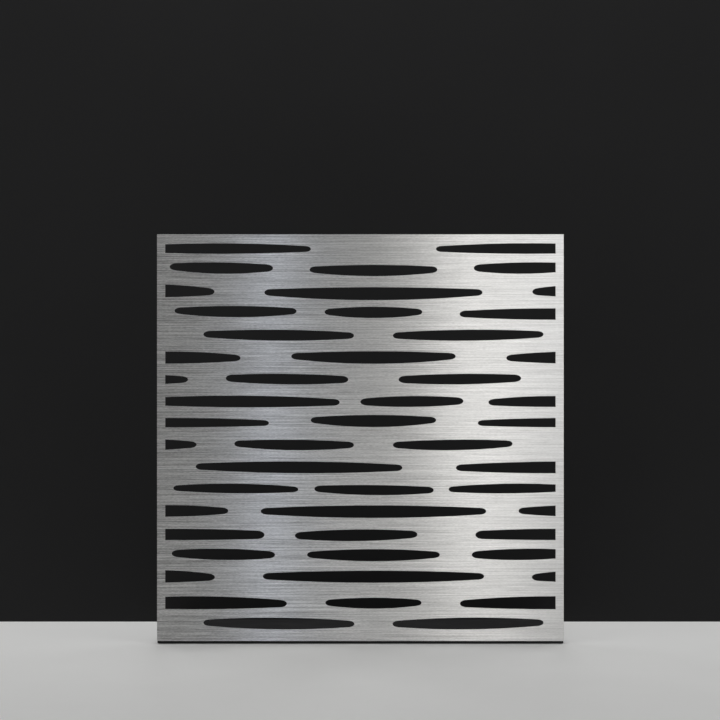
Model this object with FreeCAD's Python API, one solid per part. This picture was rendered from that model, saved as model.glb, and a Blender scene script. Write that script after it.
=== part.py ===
import FreeCAD, Part
import math
import os

from FreeCAD import Vector

# A free-standing decorative screen: a slotted steel sheet on a slim tube frame that stands on a base plate.
# Millimetres, +Z up, the front faces -Y. The origin is on the floor, under the middle of the base plate.

# Face sheet
SHEET_WIDTH = 1000.0
SHEET_HEIGHT = 1000.0
SHEET_THICKNESS = 3.0
SIDE_BORDER = 20.0
TOP_BORDER = 20.0
BOTTOM_BORDER = 25.0

# Slots: how far the pattern's centre line lies to the right of the sheet's centre, the four half heights of
# the tips, a tip's length for each of its half heights, and the curve handle that makes a quarter ellipse
PATTERN_SHIFT = 32.0
POINTED_TIP = 7.2
SLIM_TIP = 8.2
FULL_TIP = 9.1
BLUNT_TIP = 10.3
TIP_STRETCH = 1.8
QUARTER_HANDLE = 0.5523

# Slots that come in mirrored pairs. As shares of the sheet's width, from the pattern's centre line:
# inner end, outer end. As shares of its height: the middle above the sheet's lower edge, the belly's
# height, the lift of the inner tip and of the outer tip above the middle. Last, the tip's half height.
PAIRED_SLOT_SHARES = (
    (0.154, 0.610, 0.965, 0.026, -0.001, -0.001, POINTED_TIP),
    (0.247, 0.501, 0.917, 0.028, 0, 0.003, FULL_TIP),
    (0.391, 0.682, 0.861, 0.032, -0.002, -0.002, FULL_TIP),
    (0.048, 0.418, 0.752, 0.027, -0.001, 0.002, SLIM_TIP),
    (0.327, 0.668, 0.697, 0.030, -0.001, -0.001, SLIM_TIP),
    (0.062, 0.363, 0.644, 0.026, -0.001, 0.002, FULL_TIP),
    (0.257, 0.702, 0.537, 0.023, -0.001, -0.001, POINTED_TIP),
    (0.048, 0.342, 0.482, 0.026, 0, 0.003, SLIM_TIP),
    (0.185, 0.492, 0.375, 0.024, -0.002, 0.001, POINTED_TIP),
    (0.357, 0.676, 0.320, 0.029, 0, 0, SLIM_TIP),
    (0.242, 0.496, 0.213, 0.028, -0.001, 0.002, FULL_TIP),
    (0.390, 0.680, 0.159, 0.031, -0.002, -0.002, FULL_TIP),
    (0.213, 0.664, 0.094, 0.032, -0.002, -0.002, FULL_TIP),
    (0.047, 0.418, 0.043, 0.029, -0.001, 0.002, SLIM_TIP),
)

# Slots that stand alone, in the same shares: left end, right end, middle, belly, left lift, right lift
SINGLE_SLOT_SHARES = (
    (-0.157, 0.157, 0.911, 0.028, 0.002, 0.002, SLIM_TIP),
    (-0.268, 0.268, 0.854, 0.032, 0.003, 0.003, SLIM_TIP),
    (-0.489, -0.189, 0.810, 0.028, 0.002, 0.001, SLIM_TIP),
    (-0.120, 0.120, 0.808, 0.028, 0.001, 0.001, SLIM_TIP),
    (0.212, 0.664, 0.804, 0.028, 0, 0, SLIM_TIP),
    (-0.202, 0.202, 0.697, 0.031, 0.003, 0.003, SLIM_TIP),
    (-0.771, -0.456, 0.643, 0.028, 0, 0, SLIM_TIP),
    (-0.579, -0.083, 0.589, 0.029, 0, -0.002, SLIM_TIP),
    (-0.032, 0.221, 0.589, 0.027, -0.001, 0.001, FULL_TIP),
    (0.283, 0.600, 0.589, 0.027, -0.002, -0.002, SLIM_TIP),
    (-0.154, 0.154, 0.541, 0.030, 0.002, 0.002, SLIM_TIP),
    (-0.732, -0.435, 0.483, 0.029, 0, 0, SLIM_TIP),
    (-0.437, 0.071, 0.427, 0.029, 0.002, -0.001, SLIM_TIP),
    (0.203, 0.710, 0.427, 0.029, -0.001, 0.002, SLIM_TIP),
    (-0.145, 0.148, 0.371, 0.025, 0.003, 0, SLIM_TIP),
    (-0.277, 0.277, 0.318, 0.031, 0.001, 0.001, SLIM_TIP),
    (-0.715, -0.268, 0.262, 0.028, -0.001, -0.001, BLUNT_TIP),
    (-0.193, 0.108, 0.260, 0.029, -0.001, 0.002, FULL_TIP),
    (0.251, 0.644, 0.262, 0.028, -0.001, -0.001, BLUNT_TIP),
    (-0.163, 0.163, 0.211, 0.030, 0.001, 0.001, SLIM_TIP),
    (-0.272, 0.272, 0.158, 0.030, 0.001, 0.001, SLIM_TIP),
    (-0.118, 0.118, 0.093, 0.027, 0.001, 0.001, SLIM_TIP),
)

# Tube frame behind the sheet
TUBE_SIZE = 16.0
TUBE_WALL = 1.5
TUBE_CORNER_RADIUS = 2.0
TUBE_BORE_RADIUS = 0.5
FRAME_INSET = 1.0

# Base plate, its floor-anchor holes and its pads
BASE_DEPTH = 350.0
BASE_THICKNESS = 5.0
BASE_SIDE_INSET = 1.0
BASE_CORNER_RADIUS = 25.0
BASE_EDGE_CHAMFER = 0.8
ANCHOR_HOLE = 9.0
ANCHOR_SPACING_X = 800.0
ANCHOR_SPACING_Y = 190.0
PAD_DIAMETER = 30.0
PAD_THICKNESS = 2.0
PAD_CHAMFER = 0.4
PAD_EDGE_INSET = 28.0
PAD_SIDE_INSET = 60.0
PADS_PER_ROW = 5

# Corner plates, with screws at these shares of the leg's free length beyond the other tube
CORNER_LEG = 70.0
CORNER_THICKNESS = 2.5
CORNER_MARGIN = 1.0
CORNER_ROUNDING = 3.0
CORNER_SCREW_SHARES = (0.27, 0.77)

# Button-head screws that hold the corner plates and clamp the spigots
SCREW_DIAMETER = 5.0
SCREW_LENGTH = 10.0
SCREW_HEAD_DIAMETER = 9.5
SCREW_HEAD_HEIGHT = 2.75
SCREW_HEAD_FLAT = 4.4
SCREW_SOCKET_WIDTH = 3.0
SCREW_SOCKET_DEPTH = 1.6

# Weld studs on the back of the sheet, with washers and dome nuts (crown: metal left over the thread)
STUD_DIAMETER = 5.0
STUD_FLANGE_DIAMETER = 6.5
STUD_FLANGE_HEIGHT = 0.8
STUDS_PER_RAIL = 5
STUDS_PER_STILE = 4
STUD_END_GAP = 45.0
WASHER_DIAMETER = 10.0
WASHER_THICKNESS = 1.0
NUT_WIDTH = 8.0
NUT_HEX_HEIGHT = 4.0
NUT_HEIGHT = 10.0
NUT_DOME_DIAMETER = 7.5
NUT_CROWN = 3.0

# Spigots inside the stiles
SPIGOT_LENGTH = 120.0
SPIGOT_LEAD = 4.0
CLAMP_SCREW_DROP = 25.0

# Countersunk screws that hold the spigots and the bottom rail to the base plate
BASE_SCREW_DIAMETER = 6.0
BASE_SCREW_HEAD = 12.0
BASE_SCREW_GRIP = 14.0
BASE_SCREW_SOCKET_WIDTH = 4.0
BASE_SCREW_SOCKET_DEPTH = 2.0

# Rivet nuts in the bottom rail: a threaded sleeve with a bulb that grips the tube wall from inside
RIVET_NUT_WALL = 1.5
RIVET_NUT_LENGTH = 10.0
RIVET_NUT_BULB_RIM = 0.9
RIVET_NUT_BULB_HEIGHT = 3.0

# Caps on the stiles' upper ends
CAP_HEAD_HEIGHT = 3.0
CAP_ROUNDING = 0.8
CAP_PLUG_DEPTH = 15.0
CAP_STEM_GAP = 1.0
CAP_FINS = 3
CAP_FIN_THICKNESS = 1.5

# Clearances: sliding fits on each side, screws in their threads, screws in plain holes
SLIDE_CLEARANCE = 0.1
THREAD_CLEARANCE = 0.1
HOLE_CLEARANCE = 0.5

# How far the slot cutters reach past the sheet; what counts as straight or as aligned
CUTTER_OVERRUN = 1.0
NEGLIGIBLE = 1e-6

# Places worked out from the sizes above
BASE_TOP = PAD_THICKNESS + BASE_THICKNESS
SHEET_TOP = BASE_TOP + SHEET_HEIGHT
SHEET_FRONT = -BASE_DEPTH / 2
SHEET_BACK = SHEET_FRONT + SHEET_THICKNESS
TUBE_MIDDLE = SHEET_BACK + TUBE_SIZE / 2
TUBE_REAR = SHEET_BACK + TUBE_SIZE
TUBE_BORE = TUBE_SIZE - 2 * TUBE_WALL
FRAME_TOP = SHEET_TOP - FRAME_INSET
FRAME_SIDE = SHEET_WIDTH / 2 - FRAME_INSET
STILE_X = FRAME_SIDE - TUBE_SIZE / 2
RAIL_END = FRAME_SIDE - TUBE_SIZE
TOP_RAIL_Z = FRAME_TOP - TUBE_SIZE / 2
BOTTOM_RAIL_Z = BASE_TOP + TUBE_SIZE / 2
CORNER_REAR = TUBE_REAR + CORNER_THICKNESS
CORNER_SCREW_PLACES = [TUBE_SIZE + share * (CORNER_LEG - TUBE_SIZE) for share in CORNER_SCREW_SHARES]
SPIGOT_PLACES = [-STILE_X, STILE_X]
RIVET_NUT_RADIUS = BASE_SCREW_DIAMETER / 2 + RIVET_NUT_WALL
NUT_THREAD_DEPTH = NUT_HEIGHT - NUT_CROWN
CUTTER_FRONT = SHEET_FRONT - CUTTER_OVERRUN
CUTTER_DEPTH = SHEET_THICKNESS + 2 * CUTTER_OVERRUN
LEFT, RIGHT = -1, 1
LOWER, UPPER = -1, 1

RIGHTWARDS = Vector(1, 0, 0)
REARWARDS = Vector(0, 1, 0)
UPWARDS = Vector(0, 0, 1)
ORIGIN = Vector(0, 0, 0)


def evenly(first, last, count):
    """Evenly spaced places from first to last."""
    step = (last - first) / (count - 1)
    return [first + step * i for i in range(count)]


def edges_along(shape, direction):
    """Straight edges of a solid that run along the given direction."""
    return [e for e in shape.Edges if e.tangentAt(e.FirstParameter).cross(direction).Length < NEGLIGIBLE]


def bore_to_rear(x, y, z, diameter, depth):
    """A round cutter that runs rearwards from the given point."""
    return Part.makeCylinder(diameter / 2, depth, Vector(x, y, z), REARWARDS)


def rounded_square(size, radius):
    """Closed outline of a square about the Z axis with round corners."""
    half = size / 2
    inner = half - radius
    reach = inner + radius * math.sqrt(0.5)
    edges = []
    for turn in range(4):
        side = Part.makeLine(Vector(half, -inner, 0), Vector(half, inner, 0))
        corner = Part.Arc(Vector(half, inner, 0), Vector(reach, reach, 0), Vector(inner, half, 0))
        for edge in (side, corner.toShape()):
            edge.rotate(ORIGIN, UPWARDS, 90 * turn)
            edges.append(edge)
    return Part.Wire(edges)


def hexagon(width, height):
    """Six-sided prism about the Z axis, width across its flats."""
    radius = width / math.sqrt(3)
    corners = [Vector(radius * math.cos(a), radius * math.sin(a), 0) for a in evenly(0, 2 * math.pi, 7)]
    corners[-1] = corners[0]
    return Part.Face(Part.makePolygon(corners)).extrude(UPWARDS * height)


def turned(points):
    """Solid of revolution about the Z axis from (radius, height) points that start and end on the axis."""
    outline = [Vector(r, 0, z) for r, z in points]
    outline.append(outline[0])
    return Part.Face(Part.makePolygon(outline)).revolve(ORIGIN, UPWARDS, 360)


def facing_rear(shape, x, y, z):
    """A piece built along +Z, turned to point rearwards and set down at the given point."""
    copy = shape.copy()
    copy.rotate(ORIGIN, RIGHTWARDS, -90)
    copy.translate(Vector(x, y, z))
    return copy


def slot_flank(left_tip, middle, right_tip, side, half_height):
    """Upper or lower flank of a slot: the arc through three points, moved out by the tip's half height."""
    points = (left_tip, middle, right_tip)
    chord = (right_tip - left_tip).normalize()
    across = Vector(-chord.z, 0, chord.x)
    bulge = (middle - left_tip).dot(across)
    if abs(bulge) < NEGLIGIBLE:
        normals = [across * side for point in points]
    else:
        centre = Part.Circle(*points).Center
        normals = [(p - centre).normalize() for p in points]
        normals = [n if n.z * side > 0 else n * -1 for n in normals]
    start, crest, end = [p + n * half_height for p, n in zip(points, normals)]
    if abs(bulge) < NEGLIGIBLE:
        return Part.makeLine(start, end)
    return Part.Arc(start, crest, end).toShape()


def quarter_tip(point, flank, at_right):
    """Curve from the point of a slot's tip to the end of one flank, which it meets without a corner."""
    parameter = flank.LastParameter if at_right else flank.FirstParameter
    end = flank.valueAt(parameter)
    outwards = flank.tangentAt(parameter) * (1 if at_right else -1)
    first_handle = point + UPWARDS * (QUARTER_HANDLE * (end.z - point.z))
    second_handle = end + outwards * (QUARTER_HANDLE * abs(point.x - end.x))
    curve = Part.BezierCurve()
    curve.setPoles([point, first_handle, second_handle, end])
    return curve.toShape()


def slot_cutter(left, right, height, belly, left_lift, right_lift, half_height):
    """One slot, given in shares of the sheet, as a cutter: two shallow flanks joined by rounded tips."""
    left_x, right_x = left * SHEET_WIDTH, right * SHEET_WIDTH
    tip_length = TIP_STRETCH * half_height
    z = BASE_TOP + height * SHEET_HEIGHT
    left_tip = Vector(left_x + tip_length, 0, z + left_lift * SHEET_HEIGHT)
    right_tip = Vector(right_x - tip_length, 0, z + right_lift * SHEET_HEIGHT)
    rise = Vector(0, 0, belly * SHEET_HEIGHT / 2 - half_height)
    middle = Vector((left_x + right_x) / 2, 0, z)
    upper = slot_flank(left_tip, middle + rise, right_tip, UPPER, half_height)
    lower = slot_flank(left_tip, middle - rise, right_tip, LOWER, half_height)
    left_point = left_tip - RIGHTWARDS * tip_length
    right_point = right_tip + RIGHTWARDS * tip_length
    outline = [
        quarter_tip(left_point, upper, False), upper, quarter_tip(right_point, upper, True),
        quarter_tip(right_point, lower, True), lower, quarter_tip(left_point, lower, False),
    ]
    face = Part.Face(Part.Wire(outline))
    face.translate(Vector(PATTERN_SHIFT, CUTTER_FRONT, 0))
    return face.extrude(REARWARDS * CUTTER_DEPTH)


def all_slot_cutters():
    """Every slot, trimmed straight where it would run into the plain border."""
    slots = list(SINGLE_SLOT_SHARES)
    for inner, outer, height, belly, inner_lift, outer_lift, half_height in PAIRED_SLOT_SHARES:
        slots.append((inner, outer, height, belly, inner_lift, outer_lift, half_height))
        slots.append((-outer, -inner, height, belly, outer_lift, inner_lift, half_height))
    field = Part.makeBox(
        SHEET_WIDTH - 2 * SIDE_BORDER,
        CUTTER_DEPTH,
        SHEET_HEIGHT - TOP_BORDER - BOTTOM_BORDER,
        Vector(SIDE_BORDER - SHEET_WIDTH / 2, CUTTER_FRONT, BASE_TOP + BOTTOM_BORDER),
    )
    trimmed = [slot_cutter(*slot).common(field) for slot in slots]
    return [cutter for cutter in trimmed if cutter.Solids]


def face_sheet():
    blank = Part.makeBox(
        SHEET_WIDTH, SHEET_THICKNESS, SHEET_HEIGHT, Vector(-SHEET_WIDTH / 2, SHEET_FRONT, BASE_TOP)
    )
    return blank.cut(all_slot_cutters())


def square_tube(length):
    """Square tube that runs up the Z axis from the origin."""
    outside = Part.Face(rounded_square(TUBE_SIZE, TUBE_CORNER_RADIUS))
    inside = Part.Face(rounded_square(TUBE_BORE, TUBE_BORE_RADIUS))
    return outside.cut(inside).extrude(UPWARDS * length)


def stile_stud_heights():
    """Heights of the studs in a stile: clear of the spigot below and of the corner plate above."""
    lowest = BASE_TOP + SPIGOT_LENGTH + STUD_END_GAP
    highest = FRAME_TOP - CORNER_LEG - STUD_END_GAP
    return evenly(lowest, highest, STUDS_PER_STILE)


def rail_stud_places():
    """Distances of the studs in a rail from the sheet's centre, clear of the corner plates."""
    last = FRAME_SIDE - CORNER_LEG - STUD_END_GAP
    return evenly(-last, last, STUDS_PER_RAIL)


def stud_places():
    """Every stud as (x, z) on the back of the sheet."""
    places = [(side * STILE_X, z) for side in (LEFT, RIGHT) for z in stile_stud_heights()]
    places += [(x, z) for z in (BOTTOM_RAIL_Z, TOP_RAIL_Z) for x in rail_stud_places()]
    return places


def rail_screw_places():
    """Distances of the bottom rail's base screws from the sheet's centre: half-way between its studs."""
    studs = rail_stud_places()
    return [(a + b) / 2 for a, b in zip(studs, studs[1:])]


def stud_holes(places):
    """Cutters for studs through a tube: wide at the front for the weld flange, close at the rear."""
    cutters = []
    for x, z in places:
        cutters.append(bore_to_rear(x, SHEET_BACK, z, STUD_FLANGE_DIAMETER + HOLE_CLEARANCE, TUBE_SIZE / 2))
        cutters.append(bore_to_rear(x, TUBE_MIDDLE, z, STUD_DIAMETER + HOLE_CLEARANCE, TUBE_SIZE / 2))
    return cutters


def corner_screw_places(side, level):
    """Screw places (x, z) of one corner plate, first along its stile leg, then along its rail leg."""
    corner_z = FRAME_TOP if level == UPPER else BASE_TOP
    on_stile = [(side * STILE_X, corner_z - level * d) for d in CORNER_SCREW_PLACES]
    rail_z = TOP_RAIL_Z if level == UPPER else BOTTOM_RAIL_Z
    on_rail = [(side * (FRAME_SIDE - d), rail_z) for d in CORNER_SCREW_PLACES]
    return on_stile, on_rail


def clamp_screw_place(side):
    return side * STILE_X, BASE_TOP + SPIGOT_LENGTH - CLAMP_SCREW_DROP


def thread_holes(places, depth):
    """Cutters for screw threads that run forwards from the tubes' rear face."""
    diameter = SCREW_DIAMETER + 2 * THREAD_CLEARANCE
    return [bore_to_rear(x, TUBE_REAR - depth, z, diameter, depth) for x, z in places]


def stile(side):
    tube = square_tube(FRAME_TOP - CAP_HEAD_HEIGHT - BASE_TOP)
    tube.translate(Vector(side * STILE_X, TUBE_MIDDLE, BASE_TOP))
    studs = [(side * STILE_X, z) for z in stile_stud_heights()]
    screws = corner_screw_places(side, LOWER)[0] + corner_screw_places(side, UPPER)[0]
    screws.append(clamp_screw_place(side))
    return tube.cut(stud_holes(studs) + thread_holes(screws, TUBE_SIZE / 2))


def rail(level):
    z = TOP_RAIL_Z if level == UPPER else BOTTOM_RAIL_Z
    tube = square_tube(2 * RAIL_END)
    tube.rotate(ORIGIN, REARWARDS, 90)
    tube.translate(Vector(-RAIL_END, TUBE_MIDDLE, z))
    studs = [(x, z) for x in rail_stud_places()]
    screws = corner_screw_places(LEFT, level)[1] + corner_screw_places(RIGHT, level)[1]
    cutters = stud_holes(studs) + thread_holes(screws, TUBE_SIZE / 2)
    if level == LOWER:
        hole = Part.makeCylinder(RIVET_NUT_RADIUS + SLIDE_CLEARANCE, TUBE_SIZE / 2)
        cutters += copies_under_frame(hole, rail_screw_places(), BASE_TOP)
    return tube.cut(cutters)


def corner_plate(side, level):
    """L-shaped plate on the rear of the frame, one leg on the stile and one on the rail."""
    width = TUBE_SIZE - 2 * CORNER_MARGIN
    leg = CORNER_LEG - CORNER_MARGIN
    corner_x = side * (FRAME_SIDE - CORNER_MARGIN)
    corner_z = FRAME_TOP - CORNER_MARGIN if level == UPPER else BASE_TOP + CORNER_MARGIN
    steps = ((0, 0), (leg, 0), (leg, width), (width, width), (width, leg), (0, leg), (0, 0))
    outline = [Vector(corner_x - side * x, TUBE_REAR, corner_z - level * z) for x, z in steps]
    plate = Part.Face(Part.makePolygon(outline)).extrude(REARWARDS * CORNER_THICKNESS)
    plate = plate.makeFillet(CORNER_ROUNDING, edges_along(plate, REARWARDS))
    on_stile, on_rail = corner_screw_places(side, level)
    size = SCREW_DIAMETER + HOLE_CLEARANCE
    return plate.cut([bore_to_rear(x, TUBE_REAR, z, size, CORNER_THICKNESS) for x, z in on_stile + on_rail])


def button_screw():
    """Screw along the Z axis: a flattened ball-shaped head stands on the origin, the shank runs down."""
    radius = SCREW_HEAD_DIAMETER / 2
    flat = SCREW_HEAD_FLAT / 2
    ball_z = (flat ** 2 + SCREW_HEAD_HEIGHT ** 2 - radius ** 2) / (2 * SCREW_HEAD_HEIGHT)
    ball_radius = math.hypot(radius, ball_z)
    between = (radius + flat) / 2
    shoulder = Vector(between, 0, ball_z + math.sqrt(ball_radius ** 2 - between ** 2))
    rim, top = Vector(radius, 0, 0), Vector(flat, 0, SCREW_HEAD_HEIGHT)
    axis_top = Vector(0, 0, SCREW_HEAD_HEIGHT)
    outline = [
        Part.makeLine(ORIGIN, rim),
        Part.Arc(rim, shoulder, top).toShape(),
        Part.makeLine(top, axis_top),
        Part.makeLine(axis_top, ORIGIN),
    ]
    head = Part.Face(Part.Wire(outline)).revolve(ORIGIN, UPWARDS, 360)
    socket = hexagon(SCREW_SOCKET_WIDTH, SCREW_SOCKET_DEPTH)
    socket.translate(Vector(0, 0, SCREW_HEAD_HEIGHT - SCREW_SOCKET_DEPTH))
    shank = Part.makeCylinder(SCREW_DIAMETER / 2, SCREW_LENGTH, ORIGIN, UPWARDS * -1)
    return head.cut(socket).fuse(shank).removeSplitter()


def corner_screws():
    screw = button_screw()
    screws = []
    for side in (LEFT, RIGHT):
        for level in (LOWER, UPPER):
            on_stile, on_rail = corner_screw_places(side, level)
            screws += [facing_rear(screw, x, CORNER_REAR, z) for x, z in on_stile + on_rail]
    return Part.makeCompound(screws)


def spigot_clamp_screws():
    screw = button_screw()
    places = [clamp_screw_place(side) for side in (LEFT, RIGHT)]
    return Part.makeCompound([facing_rear(screw, x, TUBE_REAR, z) for x, z in places])


def weld_studs():
    """Studs from the sheet through the tubes, washers and nuts."""
    length = TUBE_SIZE + WASHER_THICKNESS + NUT_THREAD_DEPTH - HOLE_CLEARANCE
    shank = Part.makeCylinder(STUD_DIAMETER / 2, length)
    flange = Part.makeCylinder(STUD_FLANGE_DIAMETER / 2, STUD_FLANGE_HEIGHT)
    stud = shank.fuse(flange).removeSplitter()
    return Part.makeCompound([facing_rear(stud, x, SHEET_BACK, z) for x, z in stud_places()])


def stud_washers():
    ring = Part.makeCylinder(WASHER_DIAMETER / 2, WASHER_THICKNESS)
    ring = ring.cut(Part.makeCylinder((STUD_DIAMETER + HOLE_CLEARANCE) / 2, WASHER_THICKNESS))
    return Part.makeCompound([facing_rear(ring, x, TUBE_REAR, z) for x, z in stud_places()])


def stud_nuts():
    """Dome nuts: a hexagon with a round cap and a blind threaded hole."""
    dome_radius = NUT_DOME_DIAMETER / 2
    neck = Part.makeCylinder(dome_radius, NUT_HEIGHT - dome_radius)
    dome = Part.makeSphere(dome_radius, Vector(0, 0, NUT_HEIGHT - dome_radius))
    nut = hexagon(NUT_WIDTH, NUT_HEX_HEIGHT).fuse([neck, dome]).removeSplitter()
    nut = nut.cut(Part.makeCylinder(STUD_DIAMETER / 2 + THREAD_CLEARANCE, NUT_THREAD_DEPTH))
    seat = TUBE_REAR + WASHER_THICKNESS
    return Part.makeCompound([facing_rear(nut, x, seat, z) for x, z in stud_places()])


def spigot(side):
    """Square bar that stands on the base plate inside a stile, with a tapered lead at its top."""
    width = TUBE_BORE - 2 * SLIDE_CLEARANCE
    straight = SPIGOT_LENGTH - SPIGOT_LEAD
    shoulder = rounded_square(width, TUBE_BORE_RADIUS)
    shoulder.translate(UPWARDS * straight)
    tip = rounded_square(width - SPIGOT_LEAD, TUBE_BORE_RADIUS)
    tip.translate(UPWARDS * SPIGOT_LENGTH)
    lead = Part.makeLoft([shoulder, tip], True, True)
    bar = Part.Face(rounded_square(width, TUBE_BORE_RADIUS)).extrude(UPWARDS * straight).fuse(lead)
    foot = Vector(side * STILE_X, TUBE_MIDDLE, BASE_TOP)
    bar.translate(foot)
    tapped = Part.makeCylinder(BASE_SCREW_DIAMETER / 2 + THREAD_CLEARANCE, BASE_SCREW_GRIP, foot)
    screws = corner_screw_places(side, LOWER)[0] + [clamp_screw_place(side)]
    return bar.cut([tapped] + thread_holes(screws, SCREW_LENGTH))


def countersink(head_diameter, shank_diameter, length):
    """Flat-headed screw shape along the Z axis: its head lies on the origin and its shank runs up."""
    head, shank = head_diameter / 2, shank_diameter / 2
    return turned(((0, 0), (head, 0), (shank, head - shank), (shank, length), (0, length)))


def copies_under_frame(shape, places, z):
    """Copies of a piece under the tubes' middle line, at the given distances from the sheet's centre."""
    copies = []
    for x in places:
        copy = shape.copy()
        copy.translate(Vector(x, TUBE_MIDDLE, z))
        copies.append(copy)
    return copies


def base_screws(places, grip):
    """Countersunk screws that run up through the base plate into threads of the given depth."""
    length = BASE_THICKNESS + grip - HOLE_CLEARANCE
    screw = countersink(BASE_SCREW_HEAD, BASE_SCREW_DIAMETER, length)
    screw = screw.cut(hexagon(BASE_SCREW_SOCKET_WIDTH, BASE_SCREW_SOCKET_DEPTH))
    return Part.makeCompound(copies_under_frame(screw, places, PAD_THICKNESS))


def rail_rivet_nuts():
    sleeve = Part.makeCylinder(RIVET_NUT_RADIUS, RIVET_NUT_LENGTH)
    bulb_radius = RIVET_NUT_RADIUS + RIVET_NUT_BULB_RIM
    bulb = Part.makeCylinder(bulb_radius, RIVET_NUT_BULB_HEIGHT, Vector(0, 0, TUBE_WALL))
    nut = sleeve.fuse(bulb).removeSplitter()
    nut = nut.cut(Part.makeCylinder(BASE_SCREW_DIAMETER / 2 + THREAD_CLEARANCE, RIVET_NUT_LENGTH))
    return Part.makeCompound(copies_under_frame(nut, rail_screw_places(), BASE_TOP))


def base_plate():
    """Plate on the floor: square front corners under the sheet, round rear corners, anchor holes."""
    width = SHEET_WIDTH - 2 * BASE_SIDE_INSET
    corner = Vector(-width / 2, -BASE_DEPTH / 2, PAD_THICKNESS)
    plate = Part.makeBox(width, BASE_DEPTH, BASE_THICKNESS, corner)
    rear_corners = [e for e in edges_along(plate, UPWARDS) if e.CenterOfMass.y > 0]
    plate = plate.makeFillet(BASE_CORNER_RADIUS, rear_corners)
    top = max(plate.Faces, key=lambda face: face.CenterOfMass.z)
    rims = [e for e in top.Edges if e.CenterOfMass.y > SHEET_BACK]
    plate = plate.makeChamfer(BASE_EDGE_CHAMFER, rims)
    holes = []
    for x in (-ANCHOR_SPACING_X / 2, ANCHOR_SPACING_X / 2):
        for y in (-ANCHOR_SPACING_Y / 2, ANCHOR_SPACING_Y / 2):
            holes.append(Part.makeCylinder(ANCHOR_HOLE / 2, BASE_THICKNESS, Vector(x, y, PAD_THICKNESS)))
    head_hole = BASE_SCREW_HEAD + HOLE_CLEARANCE
    hole = countersink(head_hole, BASE_SCREW_DIAMETER + HOLE_CLEARANCE, BASE_THICKNESS + head_hole)
    holes += copies_under_frame(hole, SPIGOT_PLACES + rail_screw_places(), PAD_THICKNESS)
    return plate.cut(holes)


def base_pads():
    """Two rows of round rubber pads under the base plate."""
    pad = Part.makeCylinder(PAD_DIAMETER / 2, PAD_THICKNESS)
    rim = [e for e in pad.Edges if e.Closed and e.CenterOfMass.z < PAD_THICKNESS / 2]
    pad = pad.makeChamfer(PAD_CHAMFER, rim)
    pads = []
    for y in (PAD_EDGE_INSET - BASE_DEPTH / 2, BASE_DEPTH / 2 - PAD_EDGE_INSET):
        for x in evenly(PAD_SIDE_INSET - SHEET_WIDTH / 2, SHEET_WIDTH / 2 - PAD_SIDE_INSET, PADS_PER_ROW):
            copy = pad.copy()
            copy.translate(Vector(x, y, 0))
            pads.append(copy)
    return Part.makeCompound(pads)


def stile_cap(side):
    """Plastic cap: a square head over a stem with fins that grip the tube."""
    head = Part.Face(rounded_square(TUBE_SIZE, TUBE_CORNER_RADIUS)).extrude(UPWARDS * CAP_HEAD_HEIGHT)
    top = max(head.Faces, key=lambda face: face.CenterOfMass.z)
    head = head.makeFillet(CAP_ROUNDING, top.Edges)
    fin_width = TUBE_BORE - 2 * SLIDE_CLEARANCE
    stem_width = fin_width - 2 * CAP_STEM_GAP
    stem = Part.Face(rounded_square(stem_width, TUBE_BORE_RADIUS)).extrude(UPWARDS * -CAP_PLUG_DEPTH)
    pieces = [stem]
    for z in evenly(-CAP_PLUG_DEPTH + CAP_FIN_THICKNESS, -2 * CAP_FIN_THICKNESS, CAP_FINS):
        fin = Part.Face(rounded_square(fin_width, TUBE_BORE_RADIUS)).extrude(UPWARDS * CAP_FIN_THICKNESS)
        fin.translate(Vector(0, 0, z))
        pieces.append(fin)
    cap = head.fuse(pieces).removeSplitter()
    cap.translate(Vector(side * STILE_X, TUBE_MIDDLE, FRAME_TOP - CAP_HEAD_HEIGHT))
    return cap


def all_pieces():
    return {
        "face_sheet": face_sheet(),
        "left_stile": stile(LEFT),
        "right_stile": stile(RIGHT),
        "top_rail": rail(UPPER),
        "bottom_rail": rail(LOWER),
        "top_left_corner_plate": corner_plate(LEFT, UPPER),
        "top_right_corner_plate": corner_plate(RIGHT, UPPER),
        "bottom_left_corner_plate": corner_plate(LEFT, LOWER),
        "bottom_right_corner_plate": corner_plate(RIGHT, LOWER),
        "corner_screws": corner_screws(),
        "weld_studs": weld_studs(),
        "stud_washers": stud_washers(),
        "stud_nuts": stud_nuts(),
        "left_stile_cap": stile_cap(LEFT),
        "right_stile_cap": stile_cap(RIGHT),
        "base_plate": base_plate(),
        "left_spigot": spigot(LEFT),
        "right_spigot": spigot(RIGHT),
        "spigot_base_screws": base_screws(SPIGOT_PLACES, BASE_SCREW_GRIP),
        "spigot_clamp_screws": spigot_clamp_screws(),
        "rail_rivet_nuts": rail_rivet_nuts(),
        "rail_base_screws": base_screws(rail_screw_places(), RIVET_NUT_LENGTH),
        "base_pads": base_pads(),
    }


os.makedirs("parts", exist_ok=True)
for name, shape in all_pieces().items():
    shape.exportStep("parts/" + name + ".step")
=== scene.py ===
import bpy
import numpy as np
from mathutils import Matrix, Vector


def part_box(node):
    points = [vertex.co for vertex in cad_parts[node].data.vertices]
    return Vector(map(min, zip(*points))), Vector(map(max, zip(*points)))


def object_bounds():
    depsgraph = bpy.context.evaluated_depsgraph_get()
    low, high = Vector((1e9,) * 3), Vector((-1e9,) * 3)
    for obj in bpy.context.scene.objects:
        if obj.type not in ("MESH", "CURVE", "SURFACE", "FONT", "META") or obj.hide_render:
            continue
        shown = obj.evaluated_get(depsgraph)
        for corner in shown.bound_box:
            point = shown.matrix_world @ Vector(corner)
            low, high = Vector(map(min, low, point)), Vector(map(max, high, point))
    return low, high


bl_info = {
    "name": "Slotted Steel Screen",
    "version": (1, 0, 0),
    "blender": (4, 5, 0),
    "location": "View3D > Sidebar > Screen",
    "description": "Gives a free-standing slotted steel screen its finishes and a plain stage",
    "category": "Object",
}

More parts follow.
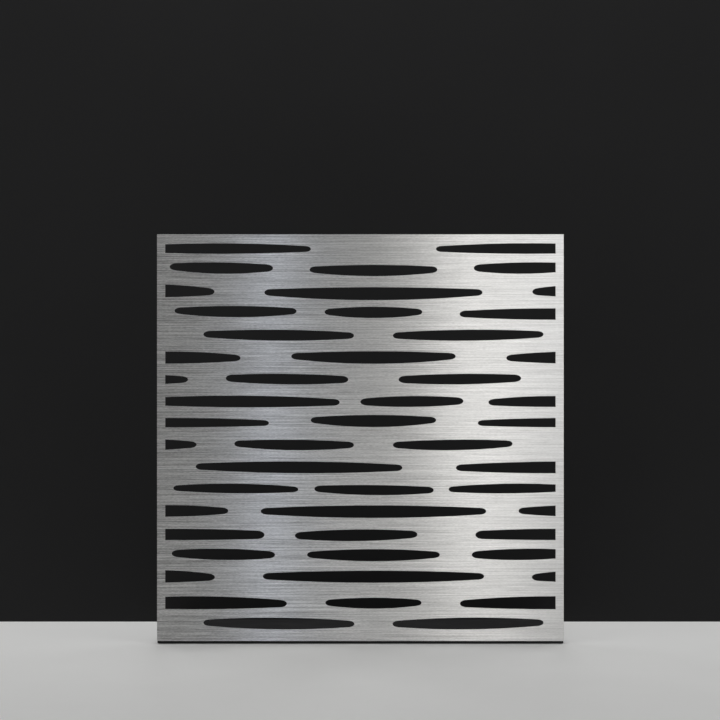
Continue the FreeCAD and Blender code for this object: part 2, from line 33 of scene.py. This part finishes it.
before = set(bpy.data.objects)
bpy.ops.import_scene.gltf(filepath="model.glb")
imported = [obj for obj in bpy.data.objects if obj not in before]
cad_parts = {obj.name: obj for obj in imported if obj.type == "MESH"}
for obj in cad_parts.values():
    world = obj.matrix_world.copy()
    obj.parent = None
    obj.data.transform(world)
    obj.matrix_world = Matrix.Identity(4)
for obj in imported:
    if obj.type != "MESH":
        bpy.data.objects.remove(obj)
CAD_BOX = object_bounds()
SHEET_LOW, SHEET_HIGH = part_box("face_sheet")

FRAME_NODES = (
    "left_stile",
    "right_stile",
    "top_rail",
    "bottom_rail",
    "top_left_corner_plate",
    "top_right_corner_plate",
    "bottom_left_corner_plate",
    "bottom_right_corner_plate",
)
FASTENER_NODES = (
    "corner_screws",
    "weld_studs",
    "stud_washers",
    "stud_nuts",
    "spigot_base_screws",
    "spigot_clamp_screws",
    "rail_rivet_nuts",
    "rail_base_screws",
)
SPIGOT_NODES = ("left_spigot", "right_spigot")
CAP_NODES = ("left_stile_cap", "right_stile_cap")


# Sizes and colours that a user would change


class SheetFinish(bpy.types.PropertyGroup):
    """Brushed front, mill-finished back and cut rims of the slotted sheet."""

    dark_steel: bpy.props.FloatVectorProperty(
        name="Dark steel", description="Colour in the bottom of a brush line",
        subtype="COLOR", size=3, min=0, max=1, default=(0.18, 0.179, 0.178),
    )
    pale_steel: bpy.props.FloatVectorProperty(
        name="Pale steel", description="Colour on the crest between brush lines",
        subtype="COLOR", size=3, min=0, max=1, default=(1.0, 0.995, 0.983),
    )
    roughness: bpy.props.FloatProperty(
        name="Roughness", description="Mean roughness of the brushed face",
        subtype="FACTOR", min=0, max=1, default=0.40,
    )
    anisotropy: bpy.props.FloatProperty(
        name="Stretch", description="How far reflections stretch across the brush lines",
        subtype="FACTOR", min=0, max=1, default=0.95,
    )
    line_length: bpy.props.FloatProperty(
        name="Line length", description="Length of a brush line",
        unit="LENGTH", min=0.005, default=0.30,
    )
    line_height: bpy.props.FloatProperty(
        name="Line height", description="Height of a brush line",
        unit="LENGTH", min=0.0001, default=0.0013,
    )
    # Painted light: the brush lines are given more contrast at the left, where the sheet reflects less
    # light, and less at the right, where it reflects more
    left_contrast: bpy.props.FloatProperty(
        name="Left contrast", description="Contrast of the brush lines at the left side",
        min=0, default=1.7,
    )
    right_contrast: bpy.props.FloatProperty(
        name="Right contrast", description="Contrast of the brush lines at the right side",
        min=0, default=0.5,
    )
    edge_radius: bpy.props.FloatProperty(
        name="Edge radius", description="Rounding of the deburred edges",
        unit="LENGTH", min=0, default=0.0008,
    )
    mill_steel: bpy.props.FloatVectorProperty(
        name="Mill steel", description="Colour of the sheet's back, which isn't brushed",
        subtype="COLOR", size=3, min=0, max=1, default=(0.47, 0.472, 0.476),
    )
    cut_steel: bpy.props.FloatVectorProperty(
        name="Cut steel", description="Colour of the laser-cut rims",
        subtype="COLOR", size=3, min=0, max=1, default=(0.13, 0.127, 0.122),
    )


class CoatFinish(bpy.types.PropertyGroup):
    """Black powder coat of the frame and the base plate."""

    coat: bpy.props.FloatVectorProperty(
        name="Coat", description="Colour of the powder coat",
        subtype="COLOR", size=3, min=0, max=1, default=(0.012, 0.012, 0.0125),
    )
    worn_coat: bpy.props.FloatVectorProperty(
        name="Worn coat", description="Colour of the coat where it is rubbed or dusty",
        subtype="COLOR", size=3, min=0, max=1, default=(0.030, 0.030, 0.031),
    )
    edge_coat: bpy.props.FloatVectorProperty(
        name="Edge coat", description="Colour of the coat where it is thin, along the edges",
        subtype="COLOR", size=3, min=0, max=1, default=(0.10, 0.10, 0.10),
    )
    edge_width: bpy.props.FloatProperty(
        name="Edge width", description="Width of the thin coat along the edges",
        unit="LENGTH", min=0, default=0.0012,
    )
    grain: bpy.props.FloatProperty(
        name="Grain", description="Size of the coat's fine texture",
        unit="LENGTH", min=0.0001, default=0.0007,
    )


class FittingFinish(bpy.types.PropertyGroup):
    """Finishes of the fasteners, spigots, caps and pads."""

    stainless: bpy.props.FloatVectorProperty(
        name="Stainless", description="Colour of the screws, studs, washers and nuts",
        subtype="COLOR", size=3, min=0, max=1, default=(0.56, 0.56, 0.57),
    )
    zinc: bpy.props.FloatVectorProperty(
        name="Zinc", description="Colour of the zinc-plated spigots",
        subtype="COLOR", size=3, min=0, max=1, default=(0.50, 0.51, 0.53),
    )
    cap_plastic: bpy.props.FloatVectorProperty(
        name="Cap plastic", description="Colour of the stile caps",
        subtype="COLOR", size=3, min=0, max=1, default=(0.02, 0.02, 0.021),
    )
    pad_rubber: bpy.props.FloatVectorProperty(
        name="Pad rubber", description="Colour of the pads under the base",
        subtype="COLOR", size=3, min=0, max=1, default=(0.016, 0.016, 0.016),
    )


class StageSettings(bpy.types.PropertyGroup):
    """Floor, backdrop, room and camera."""

    floor: bpy.props.FloatVectorProperty(
        name="Floor", description="Colour of the floor",
        subtype="COLOR", size=3, min=0, max=1, default=(0.75, 0.75, 0.74),
    )
    backdrop: bpy.props.FloatVectorProperty(
        name="Backdrop", description="Colour of the dark backdrop behind the screen",
        subtype="COLOR", size=3, min=0, max=1, default=(0.0085, 0.0085, 0.009),
    )
    surround: bpy.props.FloatVectorProperty(
        name="Surround", description="Colour of the room around the stage",
        subtype="COLOR", size=3, min=0, max=1, default=(0.105, 0.105, 0.105),
    )
    camera_distance: bpy.props.FloatProperty(
        name="Camera distance", description="Distance of the camera from the sheet's face",
        unit="LENGTH", min=0.5, default=4.18,
    )
    camera_height: bpy.props.FloatProperty(
        name="Camera height", description="Height of the camera above the floor",
        unit="LENGTH", min=0, default=0.698,
    )
    camera_lens: bpy.props.FloatProperty(
        name="Camera lens", description="Focal length on a 36 mm sensor",
        subtype="DISTANCE_CAMERA", min=10, default=85,
    )


# Node helpers

# Span in which nearly all values of the noise lie
NOISE_SPAN = (0.25, 0.75)
# Span of the cosine between the rounded and the true normal over which an edge fades out
EDGE_SPAN = (0.75, 0.99)
# Span of the normal's Y over which a rim passes into the sheet's front or back
SIDE_SPAN = (0.4, 0.6)
BEVEL_SAMPLES = 4
# Places of a Mix node's colour sockets, because its sockets for other types have the same names
MIX_SHARE, MIX_LOW, MIX_HIGH, MIX_RESULT = 0, 6, 7, 2


def plug(tree, socket, value):
    """Links the value to the socket if it is a socket too, and otherwise sets it there as a plain value."""
    if isinstance(value, bpy.types.NodeSocket):
        tree.links.new(value, socket)
    else:
        socket.default_value = value


def add(tree, kind, inputs=(), **settings):
    """Adds a shader node with its settings and inputs."""
    made = tree.nodes.new("ShaderNode" + kind)
    for name, value in settings.items():
        setattr(made, name, value)
    for name, value in dict(inputs).items():
        plug(tree, made.inputs[name], value)
    return made


def new_material(name):
    """A plain material, its node tree and its principled shader."""
    material = bpy.data.materials.new(name)
    material.use_nodes = True
    tree = material.node_tree
    return material, tree, tree.nodes["Principled BSDF"]


def fill(tree, shader, **sockets):
    """Sets the principled shader's sockets, named with underscores for spaces."""
    for name, value in sockets.items():
        plug(tree, shader.inputs[name.replace("_", " ")], value)


def object_coords(tree):
    """The place on the object, in metres."""
    return add(tree, "TexCoord").outputs["Object"]


def split(tree, vector):
    """A vector's X, Y and Z, by name."""
    return add(tree, "SeparateXYZ", {"Vector": vector}).outputs


def absolute(tree, value):
    """The value without its sign."""
    return add(tree, "Math", {0: value}, operation="ABSOLUTE").outputs["Value"]


def product(tree, value, other):
    """One value times another."""
    return add(tree, "Math", {0: value, 1: other}, operation="MULTIPLY").outputs["Value"]


def noise(tree, cell, detail, roughness):
    """Noise on Object coordinates whose blotches are as long as cell says along X, Y and Z, in metres."""
    placed = add(
        tree, "Mapping", {"Vector": object_coords(tree), "Scale": [1 / side for side in cell]},
    )
    made = add(
        tree, "TexNoise",
        {"Vector": placed.outputs["Vector"], "Scale": 1.0, "Detail": detail, "Roughness": roughness},
    )
    return made.outputs["Fac"]


def remap(tree, value, low, high, span=NOISE_SPAN, **settings):
    """The value moved from a span to the range from low to high, clamped."""
    span_low, span_high = span
    made = add(
        tree, "MapRange",
        {"Value": value, "From Min": span_low, "From Max": span_high, "To Min": low, "To Max": high},
        **settings,
    )
    return made.outputs["Result"]


def blend(tree, value, other, share):
    """The value with a share of another value laid over it."""
    made = add(tree, "Mix", {"Factor": share, "A": value, "B": other}, data_type="FLOAT")
    return made.outputs["Result"]


def stretch(tree, value, factor):
    """The value moved away from a half, or nearer to it, by a factor that may vary over the surface."""
    made = add(
        tree, "Mix", {"Factor": factor, "A": 0.5, "B": value}, data_type="FLOAT", clamp_factor=False,
    )
    return made.outputs["Result"]


def shade(colour, factor):
    """The colour times a factor."""
    return [factor * part for part in colour]


def tones(tree, value, low, high, span=NOISE_SPAN):
    """A colour that runs from low to high as the value does."""
    ramp = add(tree, "ValToRGB", {"Fac": remap(tree, value, 0.0, 1.0, span)})
    ramp.color_ramp.elements[0].color = (*low, 1)
    ramp.color_ramp.elements[1].color = (*high, 1)
    return ramp.outputs["Color"]


def mix_colours(tree, share, low, high):
    """A colour between two others, by a share that varies over the surface."""
    made = add(tree, "Mix", {MIX_SHARE: share}, data_type="RGBA")
    for place, colour in ((MIX_LOW, low), (MIX_HIGH, high)):
        linked = isinstance(colour, bpy.types.NodeSocket)
        plug(tree, made.inputs[place], colour if linked else (*colour, 1))
    return made.outputs[MIX_RESULT]


def rounded(tree, radius):
    """The surface's direction with its edges rounded."""
    return add(tree, "Bevel", {"Radius": radius}, samples=BEVEL_SAMPLES).outputs["Normal"]


def bumps(tree, height, strength, depth, **normal):
    """The surface's direction, leaned by a height that varies over it."""
    made = add(tree, "Bump", {"Strength": strength, "Distance": depth, "Height": height, **normal})
    return made.outputs["Normal"]


def edges(tree, width):
    """1 along sharp edges and 0 on flat faces, from how far a rounded normal leans from the true one."""
    true_normal = add(tree, "NewGeometry").outputs["Normal"]
    lean = add(tree, "VectorMath", {0: rounded(tree, width), 1: true_normal}, operation="DOT_PRODUCT")
    return remap(tree, lean.outputs["Value"], 1.0, 0.0, EDGE_SPAN)


def across_sheet(tree, left, right):
    """A value that runs evenly from the sheet's left side to its right side."""
    return remap(tree, split(tree, object_coords(tree))["X"], left, right, (SHEET_LOW.x, SHEET_HIGH.x))


def sheet_sides(tree):
    """Two shares for a sheet that lies square to Y: 1 on its rims, and 1 on its back."""
    rearward = split(tree, add(tree, "TexCoord").outputs["Normal"])["Y"]
    rim = remap(tree, absolute(tree, rearward), 1.0, 0.0, SIDE_SPAN)
    back = remap(tree, rearward, 0.0, 1.0, SIDE_SPAN)
    return rim, back


def dress(material, *names):
    """Puts one material on the named nodes of the frame."""
    for name in names:
        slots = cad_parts[name].data.materials
        slots.clear()
        slots.append(material)


# Finishes

# Scratches and specks of the brushed steel, their sizes as shares of a brush line's
SCRATCH_LENGTH, SCRATCH_HEIGHT = 0.2, 0.6
SPECK_LENGTH, SPECK_HEIGHT = 0.025, 0.6
SCRATCH_SHARE = 0.42
SPECK_SHARE = 0.23
BRUSHED_SPAN = (0.25, 0.71)
GLOSS_CHANGE = 0.05
# A cell so deep that the pattern doesn't change through the sheet
THROUGH_SHEET = 1.0
# Cut rims and mill-finished back of the sheet, their darkest tones as shares of their colours
CUT_SHADE = 0.6
CUT_ROUGHNESS = 0.75
MILL_SHADE = 0.6
MILL_SPAN = (0.36, 0.64)
CLOUD_SHARE = 0.4
# Powder coat on the frame and on the base plate
FRAME_SHINE, FRAME_ROUGHNESS = 0.4, 0.55
BASE_SHINE, BASE_ROUGHNESS = 0.01, 0.8
COAT_ROUGHNESS_CHANGE = 0.1
RUB_SPAN = (0.45, 0.85)
LEAST_EDGE_WEAR = 0.1
PEBBLE_SHARE = 0.4
# Fittings, their darkest or palest tones as shares of their colours
STAINLESS_SHADE = 0.82
STAIN_SHARE = 0.5
ZINC_SHADE = 0.75
PLASTIC_FLOW_TINT = 1.5
RUBBER_DUST_TINT = 2.2


def brushed_sheet(look):
    """Steel brushed along X: long lines, short scratches and specks vary its colour, gloss and height.

    The rims that the cutter left are darker, with fine lines straight through the sheet, and the back keeps
    the duller grey of the rolling mill.
    """
    material, tree, shader = new_material("brushed_sheet")
    length, height = look.line_length, look.line_height
    scratch = (length * SCRATCH_LENGTH, THROUGH_SHEET, height * SCRATCH_HEIGHT)
    speck = (length * SPECK_LENGTH, THROUGH_SHEET, height * SPECK_HEIGHT)
    lines = noise(tree, (length, THROUGH_SHEET, height), detail=2.0, roughness=0.6)
    scratches = noise(tree, scratch, detail=2.0, roughness=0.6)
    specks = noise(tree, speck, detail=1.0, roughness=0.5)
    mixed = blend(tree, blend(tree, lines, scratches, SCRATCH_SHARE), specks, SPECK_SHARE)
    # Painted light: the brush lines get more contrast at the left, where the sheet reflects less light, and
    # less at the right, where it reflects more
    grooves_with_painted_contrast = stretch(tree, mixed, across_sheet(tree, look.left_contrast, look.right_contrast))
    brushed = tones(tree, grooves_with_painted_contrast, look.dark_steel, look.pale_steel, BRUSHED_SPAN)
    drag_lines = noise(tree, cell=(0.0004, 0.02, 0.0004), detail=2.0, roughness=0.6)
    cut = tones(tree, drag_lines, shade(look.cut_steel, CUT_SHADE), look.cut_steel)
    clouds = noise(tree, cell=(0.09, THROUGH_SHEET, 0.03), detail=4.0, roughness=0.6)
    rolled = blend(tree, mixed, clouds, CLOUD_SHARE)
    mill = tones(tree, rolled, shade(look.mill_steel, MILL_SHADE), look.mill_steel, MILL_SPAN)
    rim, back = sheet_sides(tree)
    gloss = remap(tree, mixed, look.roughness + GLOSS_CHANGE, look.roughness - GLOSS_CHANGE)
    deburred = rounded(tree, look.edge_radius)
    fill(
        tree, shader,
        Base_Color=mix_colours(tree, rim, mix_colours(tree, back, brushed, mill), cut),
        Metallic=1.0,
        Roughness=blend(tree, gloss, CUT_ROUGHNESS, rim),
        Anisotropic=look.anisotropy,
        Tangent=add(tree, "Tangent", direction_type="RADIAL", axis="X").outputs["Tangent"],
        Normal=bumps(tree, scratches, strength=0.08, depth=0.0002, Normal=deburred),
    )
    return material


def powder_coat(name, look, shine, roughness):
    """Matt black coat with a fine pebbled texture, paler where it is rubbed and along its edges."""
    material, tree, shader = new_material(name)
    pebbles = noise(tree, (look.grain, look.grain, look.grain), detail=2.0, roughness=0.6)
    rubs = noise(tree, cell=(0.18, 0.12, 0.18), detail=5.0, roughness=0.65)
    chips = noise(tree, cell=(0.012, 0.012, 0.012), detail=4.0, roughness=0.7)
    face = tones(tree, rubs, look.coat, look.worn_coat, RUB_SPAN)
    thin = product(tree, edges(tree, look.edge_width), remap(tree, chips, LEAST_EDGE_WEAR, 1.0))
    fill(
        tree, shader,
        Base_Color=mix_colours(tree, thin, face, look.edge_coat),
        Roughness=remap(
            tree, blend(tree, rubs, pebbles, PEBBLE_SHARE),
            roughness - COAT_ROUGHNESS_CHANGE, roughness + COAT_ROUGHNESS_CHANGE,
        ),
        Specular_IOR_Level=shine,
        Normal=bumps(tree, pebbles, strength=0.25, depth=0.0002),
    )
    return material


def stainless(look):
    """Tumbled stainless steel: soft gloss with fine random scuffs."""
    material, tree, shader = new_material("stainless_fastener")
    scuffs = noise(tree, cell=(0.0012, 0.0012, 0.0004), detail=4.0, roughness=0.7)
    stains = noise(tree, cell=(0.05, 0.05, 0.05), detail=3.0, roughness=0.5)
    worn = blend(tree, scuffs, stains, STAIN_SHARE)
    fill(
        tree, shader,
        Base_Color=tones(tree, worn, shade(look.stainless, STAINLESS_SHADE), look.stainless),
        Metallic=1.0,
        Roughness=remap(tree, scuffs, low=0.24, high=0.40),
        Normal=bumps(tree, scuffs, strength=0.15, depth=0.0001),
    )
    return material


def zinc_plate(look):
    """Zinc plating: cloudy grey metal."""
    material, tree, shader = new_material("zinc_plate")
    clouds = noise(tree, cell=(0.012, 0.012, 0.02), detail=4.0, roughness=0.6)
    fill(
        tree, shader,
        Base_Color=tones(tree, clouds, shade(look.zinc, ZINC_SHADE), look.zinc),
        Metallic=1.0,
        Roughness=remap(tree, clouds, low=0.38, high=0.52),
        Normal=bumps(tree, clouds, strength=0.1, depth=0.0002),
    )
    return material


def cap_plastic(look):
    """Moulded black plastic with a fine spark-eroded grain."""
    material, tree, shader = new_material("cap_plastic")
    grain = noise(tree, cell=(0.0005, 0.0005, 0.0005), detail=2.0, roughness=0.6)
    flow = noise(tree, cell=(0.008, 0.008, 0.02), detail=3.0, roughness=0.5)
    fill(
        tree, shader,
        Base_Color=tones(tree, flow, look.cap_plastic, shade(look.cap_plastic, PLASTIC_FLOW_TINT)),
        Roughness=remap(tree, grain, low=0.45, high=0.6),
        Normal=bumps(tree, grain, strength=0.2, depth=0.0001),
    )
    return material


def pad_rubber(look):
    """Black rubber, dull and slightly dusty."""
    material, tree, shader = new_material("pad_rubber")
    dust = noise(tree, cell=(0.006, 0.006, 0.006), detail=5.0, roughness=0.65)
    fill(
        tree, shader,
        Base_Color=tones(tree, dust, look.pad_rubber, shade(look.pad_rubber, RUBBER_DUST_TINT)),
        Roughness=remap(tree, dust, low=0.75, high=0.9),
        Normal=bumps(tree, dust, strength=0.2, depth=0.0002),
    )
    return material


# Stage

FLOOR_HALF = 8.0
FLOOR_LINES = 33
FLOOR_CENTRE = (0.0, 0.0, 0.0)
FLOOR_FADE = (1.6, 5.5)
FLOOR_MOTTLE_TINT = 1.04
BACKDROP_GAP = 0.005
BACKDROP_HALF = 1.6
BACKDROP_HEIGHT = 3.0
BACKDROP_LINES = 9
BACKDROP_SIDE_FADE = (1.05, 1.5)
BACKDROP_TOP_FADE = (1.9, 2.9)
BACKDROP_WEAVE_TINT = 1.25
CAMERA_X = -0.001
SENSOR_WIDTH = 36.0
COOL, PLAIN, WARM = (0.77, 0.84, 1.0), (1.0, 1.0, 1.0), (1.0, 0.99, 0.97)
# Soft lamps in front of the sheet: name, X, foot, head, width, glow and colour
FRONT_LAMPS = (
    ("left_low", -0.29, 0.0, 0.3, 0.10, 3.90, COOL),
    ("left_high", -0.29, 0.9, 2.1, 0.10, 1.45, COOL),
    ("middle_low", -0.01, 0.0, 0.3, 0.24, 1.37, PLAIN),
    ("slope_low", 0.17, 0.0, 0.3, 0.14, 1.12, WARM),
    ("slope_high", 0.17, 0.9, 2.1, 0.14, 0.50, WARM),
    ("right_low", 0.38, 0.0, 0.3, 0.27, 3.00, WARM),
    ("right_middle", 0.38, 0.3, 0.9, 0.27, 1.16, WARM),
    ("right_high", 0.38, 0.9, 2.1, 0.27, 1.47, WARM),
    ("side_low", 0.675, 0.0, 0.9, 0.30, 0.90, PLAIN),
    ("side_high", 0.675, 0.9, 2.1, 0.30, 1.82, PLAIN),
)
FRONT_LAMP_DISTANCE = 1.2
# Large soft lamps around the stage, for the side and rear views: angle from straight in front, and glow
ROUND_LAMPS = ((-58, 1.2), (58, 1.2), (-130, 2.0), (130, 2.0), (180, 2.0))
ROUND_LAMP_DISTANCE = 3.6
ROUND_LAMP_HEIGHT = 1.9
ROUND_LAMP_SIDE = 2.2
ROUND_LAMP_TARGET = (0.0, 0.0, 0.5)
TOP_LAMP_PLACE = (0.0, -0.6, 3.2)
TOP_LAMP_SIDE = 2.6
TOP_LAMP_POWER = 34.0


def grid_object(name, points):
    """A mesh from points shaped (rows, columns, 3), with one face between each four neighbours."""
    rows, columns = points.shape[:2]
    index = np.arange(rows * columns).reshape(rows, columns)
    faces = np.stack([index[:-1, :-1], index[:-1, 1:], index[1:, 1:], index[1:, :-1]], axis=-1)
    mesh = bpy.data.meshes.new(name)
    mesh.from_pydata(points.reshape(-1, 3).tolist(), [], faces.reshape(-1, 4).tolist())
    made = bpy.data.objects.new(name, mesh)
    bpy.context.scene.collection.objects.link(made)
    return made


def floor_points(half, count):
    """A level square grid: X and Y each run from -half to half, and Z is 0."""
    across = np.linspace(-half, half, count)
    x, y = np.meshgrid(across, across)
    return np.stack([x, y, np.zeros_like(x)], axis=-1)


def backdrop_points(y, half_width, height, count):
    """An upright grid at one Y: X runs from half_width to -half_width and Z from height to 0."""
    x, z = np.meshgrid(np.linspace(half_width, -half_width, count), np.linspace(height, 0, count))
    return np.stack([x, np.full_like(x, y), z], axis=-1)


def floor_material(colour):
    """Plain pale floor that fades into the room far from the screen."""
    material, tree, shader = new_material("floor")
    mottle = noise(tree, cell=(0.4, 0.4, 0.4), detail=4.0, roughness=0.6)
    distance = add(tree, "VectorMath", {0: object_coords(tree)}, operation="LENGTH").outputs["Value"]
    fill(
        tree, shader,
        Base_Color=tones(tree, mottle, colour, shade(colour, FLOOR_MOTTLE_TINT)),
        Roughness=0.7,
        Alpha=remap(tree, distance, 1.0, 0.0, FLOOR_FADE, interpolation_type="SMOOTHSTEP"),
    )
    return material


def backdrop_material(colour):
    """Dark cloth with soft side and top edges.

    It shows only from the front, so that it doesn't hide the screen's rear.
    """
    material, tree, shader = new_material("backdrop")
    weave = noise(tree, cell=(0.5, 0.5, 0.5), detail=4.0, roughness=0.6)
    place = split(tree, object_coords(tree))
    beside = remap(tree, absolute(tree, place["X"]), 1.0, 0.0, BACKDROP_SIDE_FADE)
    above = remap(tree, place["Z"], 1.0, 0.0, BACKDROP_TOP_FADE)
    front = remap(tree, add(tree, "NewGeometry").outputs["Backfacing"], 1.0, 0.0, (0.0, 1.0))
    fill(
        tree, shader,
        Base_Color=tones(tree, weave, colour, shade(colour, BACKDROP_WEAVE_TINT)),
        Roughness=0.9,
        Alpha=product(tree, product(tree, beside, above), front),
    )
    return material


def add_floor(colour):
    """The level floor under the screen."""
    floor = grid_object("floor", floor_points(FLOOR_HALF, FLOOR_LINES))
    floor.data.materials.append(floor_material(colour))
    return floor


def add_backdrop(colour):
    """The upright cloth behind the screen, which shows in no reflection and casts no light or shadow."""
    behind = CAD_BOX[1].y + BACKDROP_GAP
    points = backdrop_points(behind, BACKDROP_HALF, BACKDROP_HEIGHT, BACKDROP_LINES)
    backdrop = grid_object("backdrop", points)
    backdrop.data.materials.append(backdrop_material(colour))
    backdrop.visible_glossy = False
    backdrop.visible_diffuse = False
    backdrop.visible_shadow = False
    return backdrop


def add_lamp(name, place, target, width, height, power, colour):
    """A soft rectangular lamp that points at the target and doesn't show itself to the camera."""
    data = bpy.data.lights.new(name, "AREA")
    data.shape = "RECTANGLE"
    data.size, data.size_y = width, height
    data.energy = power
    data.color = colour
    lamp = bpy.data.objects.new(name, data)
    lamp.location = place
    lamp.rotation_euler = (Vector(target) - Vector(place)).to_track_quat("-Z", "Y").to_euler()
    lamp.visible_camera = False
    bpy.context.scene.collection.objects.link(lamp)
    return lamp


def add_front_lamps():
    """Lamps that light only the screen. The brushed steel draws each out into a soft upright band."""
    lit_by_front_lamps = bpy.data.collections.new("lit_by_front_lamps")
    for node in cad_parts.values():
        lit_by_front_lamps.objects.link(node)
    for name, x, foot, head, width, glow, colour in FRONT_LAMPS:
        height = head - foot
        place = Vector((x, SHEET_LOW.y - FRONT_LAMP_DISTANCE, (foot + head) / 2))
        power = np.pi * width * height * glow
        lamp = add_lamp(name, place, place + Vector((0, 1, 0)), width, height, power, colour)
        lamp.light_linking.receiver_collection = lit_by_front_lamps


def add_round_lamps():
    """Lamps on a ring around the stage, outside what the sheet shows from the front."""
    side = ROUND_LAMP_SIDE
    for angle, glow in ROUND_LAMPS:
        turn = np.radians(angle)
        place = Vector((np.sin(turn), -np.cos(turn), 0)) * ROUND_LAMP_DISTANCE
        place.z = ROUND_LAMP_HEIGHT
        power = np.pi * side ** 2 * glow
        add_lamp(f"round_lamp_{angle}", place, ROUND_LAMP_TARGET, side, side, power, PLAIN)


def add_top_lamp():
    """A large soft lamp above the screen and a little in front of it."""
    side = TOP_LAMP_SIDE
    add_lamp("top_lamp", TOP_LAMP_PLACE, FLOOR_CENTRE, side, side, TOP_LAMP_POWER, PLAIN)


def add_camera(look):
    """The camera looks level at the sheet, from straight in front."""
    data = bpy.data.cameras.new("camera")
    data.lens = look.camera_lens
    data.sensor_width = SENSOR_WIDTH
    camera = bpy.data.objects.new("camera", data)
    camera.location = (CAMERA_X, SHEET_LOW.y - look.camera_distance, look.camera_height)
    camera.rotation_euler = (np.pi / 2, 0, 0)
    bpy.context.scene.collection.objects.link(camera)
    bpy.context.scene.camera = camera


def set_world(colour):
    """A plain grey room."""
    world = bpy.data.worlds.new("room")
    world.use_nodes = True
    background = world.node_tree.nodes["Background"]
    background.inputs["Color"].default_value = (*colour, 1)
    bpy.context.scene.world = world


# Operators


class SCREEN_OT_finish_sheet(bpy.types.Operator):
    """Gives the slotted sheet its brushed steel"""

    bl_idname = "screen.finish_sheet"
    bl_label = "Finish Sheet"

    def execute(self, context):
        dress(brushed_sheet(context.scene.screen_sheet), "face_sheet")
        return {"FINISHED"}


class SCREEN_OT_finish_frame(bpy.types.Operator):
    """Gives the tube frame and its corner plates their black coat"""

    bl_idname = "screen.finish_frame"
    bl_label = "Finish Frame"

    def execute(self, context):
        coat = powder_coat("frame_coat", context.scene.screen_coat, FRAME_SHINE, FRAME_ROUGHNESS)
        dress(coat, *FRAME_NODES)
        return {"FINISHED"}


class SCREEN_OT_finish_base(bpy.types.Operator):
    """Gives the base plate its dull black coat"""

    bl_idname = "screen.finish_base"
    bl_label = "Finish Base"

    def execute(self, context):
        coat = powder_coat("base_coat", context.scene.screen_coat, BASE_SHINE, BASE_ROUGHNESS)
        dress(coat, "base_plate")
        return {"FINISHED"}


class SCREEN_OT_finish_fasteners(bpy.types.Operator):
    """Gives the screws, studs, washers and nuts their stainless steel"""

    bl_idname = "screen.finish_fasteners"
    bl_label = "Finish Fasteners"

    def execute(self, context):
        dress(stainless(context.scene.screen_fittings), *FASTENER_NODES)
        return {"FINISHED"}


class SCREEN_OT_finish_spigots(bpy.types.Operator):
    """Gives the spigots their zinc plating"""

    bl_idname = "screen.finish_spigots"
    bl_label = "Finish Spigots"

    def execute(self, context):
        dress(zinc_plate(context.scene.screen_fittings), *SPIGOT_NODES)
        return {"FINISHED"}


class SCREEN_OT_finish_caps(bpy.types.Operator):
    """Gives the stile caps their moulded plastic"""

    bl_idname = "screen.finish_caps"
    bl_label = "Finish Caps"

    def execute(self, context):
        dress(cap_plastic(context.scene.screen_fittings), *CAP_NODES)
        return {"FINISHED"}


class SCREEN_OT_finish_pads(bpy.types.Operator):
    """Gives the pads under the base their rubber"""

    bl_idname = "screen.finish_pads"
    bl_label = "Finish Pads"

    def execute(self, context):
        dress(pad_rubber(context.scene.screen_fittings), "base_pads")
        return {"FINISHED"}


class SCREEN_OT_set_stage(bpy.types.Operator):
    """Sets the floor, the backdrop, the lamps, the room and the camera"""

    bl_idname = "screen.set_stage"
    bl_label = "Set Stage"

    def execute(self, context):
        look = context.scene.screen_stage
        floor = add_floor(look.floor)
        backdrop = add_backdrop(look.backdrop)
        add_top_lamp()
        add_front_lamps()
        add_round_lamps()
        set_world(look.surround)
        add_camera(look)
        context.scene.view_settings.view_transform = "Standard"
        return {"FINISHED"}


class SCREEN_PT_sidebar(bpy.types.Panel):
    """Lists the screen's operators and settings"""

    bl_label = "Slotted Steel Screen"
    bl_idname = "SCREEN_PT_sidebar"
    bl_space_type = "VIEW_3D"
    bl_region_type = "UI"
    bl_category = "Screen"

    def draw(self, context):
        layout = self.layout
        for operator in OPERATORS:
            layout.operator(operator.bl_idname)
        for name in SETTINGS:
            group = getattr(context.scene, name)
            box = layout.box()
            for key in group.__annotations__:
                box.prop(group, key)


OPERATORS = (
    SCREEN_OT_finish_sheet,
    SCREEN_OT_finish_frame,
    SCREEN_OT_finish_base,
    SCREEN_OT_finish_fasteners,
    SCREEN_OT_finish_spigots,
    SCREEN_OT_finish_caps,
    SCREEN_OT_finish_pads,
    SCREEN_OT_set_stage,
)
SETTINGS = {
    "screen_sheet": SheetFinish,
    "screen_coat": CoatFinish,
    "screen_fittings": FittingFinish,
    "screen_stage": StageSettings,
}


def register():
    for group in SETTINGS.values():
        bpy.utils.register_class(group)
    for operator in OPERATORS:
        bpy.utils.register_class(operator)
    bpy.utils.register_class(SCREEN_PT_sidebar)
    for name, group in SETTINGS.items():
        setattr(bpy.types.Scene, name, bpy.props.PointerProperty(type=group))


def unregister():
    for name in SETTINGS:
        delattr(bpy.types.Scene, name)
    bpy.utils.unregister_class(SCREEN_PT_sidebar)
    for operator in reversed(OPERATORS):
        bpy.utils.unregister_class(operator)
    for group in SETTINGS.values():
        bpy.utils.unregister_class(group)


def main():
    register()
    bpy.ops.screen.finish_sheet()
    bpy.ops.screen.finish_frame()
    bpy.ops.screen.finish_base()
    bpy.ops.screen.finish_fasteners()
    bpy.ops.screen.finish_spigots()
    bpy.ops.screen.finish_caps()
    bpy.ops.screen.finish_pads()
    bpy.ops.screen.set_stage()


if __name__ == "__main__":
    main()
